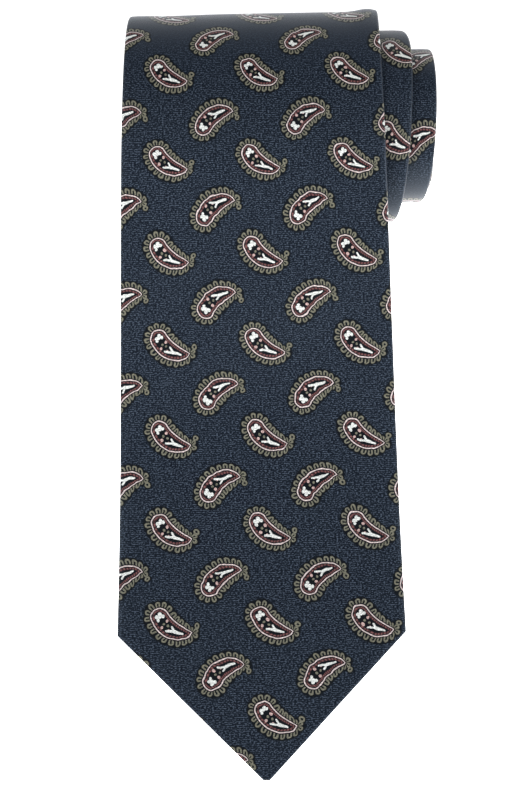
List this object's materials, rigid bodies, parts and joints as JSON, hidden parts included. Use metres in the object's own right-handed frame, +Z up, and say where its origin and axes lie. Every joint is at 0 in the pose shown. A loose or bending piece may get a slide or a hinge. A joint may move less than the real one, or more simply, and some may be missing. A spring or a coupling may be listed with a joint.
{
  "type": "necktie",
  "caption": "Navy silk necktie with a small paisley pattern, rolled up from its narrow end and lying with its pointed blade drawn out flat in front of the roll.",
  "frame": {"origin": "middle of the footprint on the table under the rolled tie", "axes": "+Z up from the table, +Y from the blade's tip towards the roll, +X to the right seen from the tip"},
  "size_m": [0.1016, 0.2392, 0.051],
  "materials": {
    "printed_silk": "fine silk twill, navy with a printed paisley, soft sheen",
    "thread": "navy silk sewing thread",
    "wool_interlining": "undyed brushed wool interlining",
    "tipping_silk": "plain dark lining twill",
    "label_satin": "woven satin label, blank",
    "care_tape": "white nylon label tape, blank"
  },
  "bodies": {
    "roll": {"blade_panel_rolled": "printed_silk", "neck_panel": "printed_silk", "tail_panel": "printed_silk", "blade_interlining_rolled": "wool_interlining", "tail_interlining": "wool_interlining", "tail_tipping": "tipping_silk", "panel_seams": "thread", "slip_stitch_rolled": "thread", "tail_bar_tack": "thread"},
    "blade_upper": {"blade_panel_upper": "printed_silk", "blade_interlining_upper": "wool_interlining", "blade_tipping_upper": "tipping_silk", "slip_stitch_upper": "thread", "blade_bar_tack": "thread", "keeper_loop": "printed_silk", "keeper_tacks": "thread", "maker_label": "label_satin", "maker_label_stitches": "thread", "care_label_thread": "thread"},
    "blade_end": {"blade_panel_tip": "printed_silk", "blade_interlining_tip": "wool_interlining", "blade_tipping_tip": "tipping_silk"},
    "care_flap": {"care_label": "care_tape"}
  },
  "joints": [
    {"name": "blade_lift", "type": "hinge", "parent": "roll", "child": "blade_upper", "pos_m": [-0.00582, 0.04812, 0.03896], "axis": [-1, 0, 0], "range_deg": [0, 110]},
    {"name": "blade_bend", "type": "hinge", "parent": "blade_upper", "child": "blade_end", "pos_m": [-0.00582, -0.05536, 0.00145], "axis": [-1, 0, 0], "range_deg": [0, 90]},
    {"name": "care_label_flip", "type": "hinge", "parent": "blade_upper", "child": "care_flap", "pos_m": [0.00918, 0.01205, 0.01777], "axis": [1, 0, 0], "range_deg": [0, 100]}
  ]
}
